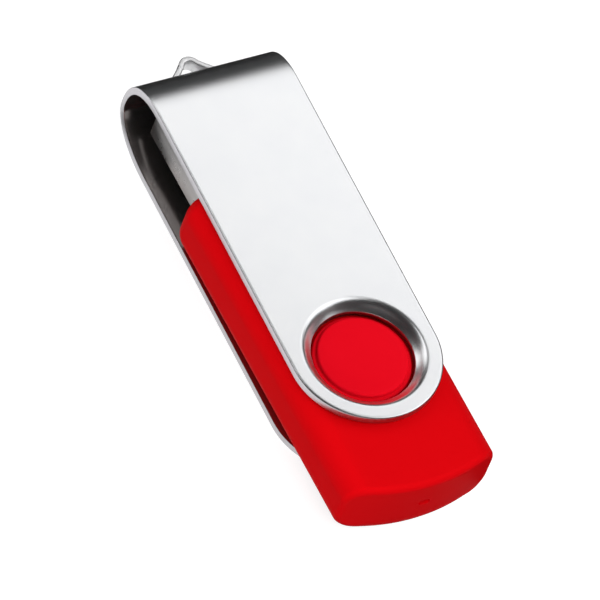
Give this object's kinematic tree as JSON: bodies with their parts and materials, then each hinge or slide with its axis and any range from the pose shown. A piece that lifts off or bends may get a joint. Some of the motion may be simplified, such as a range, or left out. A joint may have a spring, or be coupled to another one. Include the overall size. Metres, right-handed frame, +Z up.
{
  "type": "swivel usb flash drive",
  "caption": "Swivel USB flash drive: a rubberised body with a type A plug turns inside a folded satin metal cover with a lanced key loop.",
  "frame": {"origin": "on the resting plane, under the middle of the closed drive's bounding box", "axes": "+Z up and along the swivel axis, +X along the drive towards its closed rear end, away from the plug, +Y across it"},
  "size_m": [0.0594, 0.0184, 0.0107],
  "materials": {
    "satin_metal": "bead-blasted satin outside, smooth inside",
    "red_body": "rubberised soft-touch coat",
    "red_cap": "rubberised soft-touch coat",
    "plug_metal": "nickel-plated",
    "black_plastic": "moulded",
    "contact_gold": "gold-plated",
    "board_green": "solder mask on glass epoxy",
    "chip_black": "moulded epoxy",
    "can_metal": "plated can",
    "led_lens": "clear epoxy",
    "ceramic_tan": "fired ceramic"
  },
  "bodies": {
    "drive": {"upper_shell": "red_body", "lower_shell": "red_body", "upper_pivot_cap": "red_cap", "lower_pivot_cap": "red_cap", "plug_shell": "plug_metal", "plug_insulator": "black_plastic", "contact_vbus": "contact_gold", "contact_data_minus": "contact_gold", "contact_data_plus": "contact_gold", "contact_ground": "contact_gold", "circuit_board": "board_green", "memory_chip": "chip_black", "controller_chip": "chip_black", "crystal": "can_metal", "status_led": "led_lens", "capacitor_1": "ceramic_tan", "capacitor_2": "ceramic_tan", "capacitor_3": "ceramic_tan", "capacitor_4": "ceramic_tan", "capacitor_5": "ceramic_tan", "resistor_1": "chip_black", "resistor_2": "chip_black", "resistor_3": "chip_black"},
    "cover": {"swivel_cover": "satin_metal"}
  },
  "joints": [
    {"name": "cover_swivel", "type": "hinge", "parent": "drive", "child": "cover", "pos_m": [0.01307, 0, 0.00535], "axis": [0, 0, 1], "continuous": true}
  ]
}
